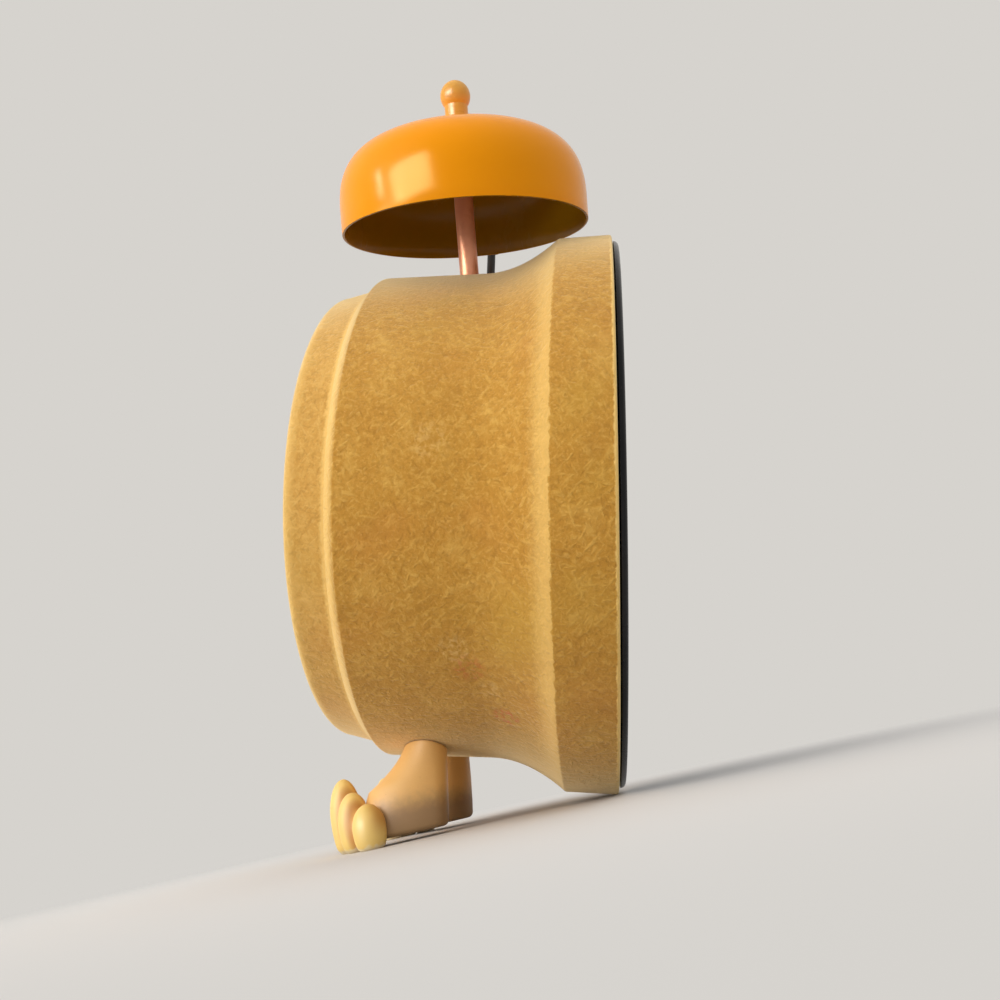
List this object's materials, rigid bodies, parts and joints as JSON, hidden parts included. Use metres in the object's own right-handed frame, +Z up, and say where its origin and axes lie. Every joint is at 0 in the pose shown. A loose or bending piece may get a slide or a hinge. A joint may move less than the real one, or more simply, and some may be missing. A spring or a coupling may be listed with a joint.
{
  "type": "twin bell alarm clock",
  "caption": "Bedside alarm clock with a round flocked drum case, domed bells on stems with a hammer between them, knobs in the back and paw feet.",
  "frame": {"origin": "middle of the outer box, on the floor plane", "axes": "+Z up, the dial faces -Y and leans back 13 degrees, +X is to the right of someone who reads the dial"},
  "size_m": [0.1166, 0.0802, 0.14],
  "materials": {
    "case_flock": "flocked, velvety",
    "ring_flock": "flocked, velvety",
    "lens": "clear, polished",
    "dial": "matt printed card",
    "white_plastic": "moulded",
    "dark_plastic": "moulded",
    "brass": "satin",
    "steel": "satin",
    "dark_steel": "oiled dark",
    "winding": "lacquered copper wire on a plastic spool",
    "board": "lacquered",
    "cover_black": "high gloss",
    "knob_black": "satin",
    "switch_red": "satin",
    "cell_sleeve": "printed sleeve, plain",
    "bell_orange": "high gloss enamel",
    "copper": "polished, copper plated",
    "rubber": "matt",
    "paw_tan": "satin paint",
    "toe_yellow": "satin paint, worn at the edges",
    "hand_black": "matt black lacquer",
    "hand_red": "matt red lacquer"
  },
  "bodies": {
    "case": {"case_shell": "case_flock", "front_ring": "ring_flock", "lens": "lens", "dial": "dial", "spacer_ring": "white_plastic", "movement_front": "white_plastic", "movement_back": "dark_plastic", "bush_nut": "brass", "step_motor": "dark_plastic", "motor_coil": "winding", "circuit_board": "board", "rear_cover": "cover_black", "battery": "cell_sleeve", "plus_contact": "steel", "minus_contact": "steel", "cover_screw_1": "steel", "cover_screw_2": "steel", "cover_screw_3": "steel", "cover_screw_4": "steel", "bell_right": "bell_orange", "bell_stem_right": "copper", "stem_nut_right": "steel", "bell_washer_right": "rubber", "finial_right": "bell_orange", "bell_left": "bell_orange", "bell_stem_left": "copper", "stem_nut_left": "steel", "bell_washer_left": "rubber", "finial_left": "bell_orange", "hammer_bracket": "steel", "hammer_pivot": "steel", "magnet_core": "dark_steel", "magnet_coil": "winding", "paw_right": "paw_tan", "toes_right": "toe_yellow", "paw_screw_right": "steel", "paw_left": "paw_tan", "toes_left": "toe_yellow", "paw_screw_left": "steel"},
    "minutes": {"minute_arbor": "steel", "minute_hand": "hand_black"},
    "hours": {"hour_wheel": "brass", "hour_hand": "hand_black"},
    "time_setting": {"set_wheel": "brass", "time_set_knob": "knob_black"},
    "seconds": {"second_arbor": "steel", "second_hand": "hand_red"},
    "motor": {"motor_pinion": "white_plastic"},
    "alarm": {"alarm_wheel": "brass", "alarm_hand": "hand_red"},
    "alarm_setting": {"alarm_set_pinion": "steel", "alarm_set_knob": "knob_black"},
    "hammer": {"hammer_lever": "dark_steel", "hammer_rod": "dark_steel", "hammer_head": "dark_steel"},
    "switch": {"alarm_switch": "switch_red"},
    "door": {"battery_door": "cover_black"}
  },
  "joints": [
    {"name": "minute_turn", "type": "hinge", "parent": "case", "child": "minutes", "pos_m": [0, 0.02567, 0.05638], "axis": [0, 0.9744, -0.225], "continuous": true},
    {"name": "hour_turn", "type": "hinge", "parent": "case", "child": "hours", "pos_m": [0, 0.02567, 0.05638], "axis": [0, 0.9744, -0.225], "continuous": true},
    {"name": "time_setting_turn", "type": "hinge", "parent": "case", "child": "time_setting", "pos_m": [0.016, 0.02567, 0.05638], "axis": [0, 0.9744, -0.225], "continuous": true},
    {"name": "second_turn", "type": "hinge", "parent": "case", "child": "seconds", "pos_m": [0, 0.02567, 0.05638], "axis": [0, 0.9744, -0.225], "continuous": true},
    {"name": "motor_turn", "type": "hinge", "parent": "case", "child": "motor", "pos_m": [0, 0.02855, 0.06885], "axis": [0, 0.9744, -0.225], "continuous": true},
    {"name": "alarm_turn", "type": "hinge", "parent": "case", "child": "alarm", "pos_m": [0, 0.02567, 0.05638], "axis": [0, 0.9744, -0.225], "continuous": true},
    {"name": "alarm_setting_turn", "type": "hinge", "parent": "case", "child": "alarm_setting", "pos_m": [-0.016, 0.02567, 0.05638], "axis": [0, 0.9744, -0.225], "continuous": true},
    {"name": "hammer_swing", "type": "hinge", "parent": "case", "child": "hammer", "pos_m": [0, 0.00397, 0.09218], "axis": [0, 0.9744, -0.225], "range_deg": [-11, 11], "stiffness_Nm_per_rad": 0.006},
    {"name": "alarm_switch_slide", "type": "slide", "parent": "case", "child": "switch", "axis": [1, 0, 0], "range_m": [0, 0.004]},
    {"name": "battery_door_pull", "type": "slide", "parent": "case", "child": "door", "axis": [0, 0.9744, -0.225], "range_m": [0, 0.012]}
  ],
  "couplings": [
    {"joint": "hour_turn", "follows": "minute_turn", "ratio": 0.083333},
    {"joint": "time_setting_turn", "follows": "minute_turn", "ratio": -0.33333},
    {"joint": "motor_turn", "follows": "second_turn", "ratio": -3},
    {"joint": "alarm_setting_turn", "follows": "alarm_turn", "ratio": -4}
  ]
}
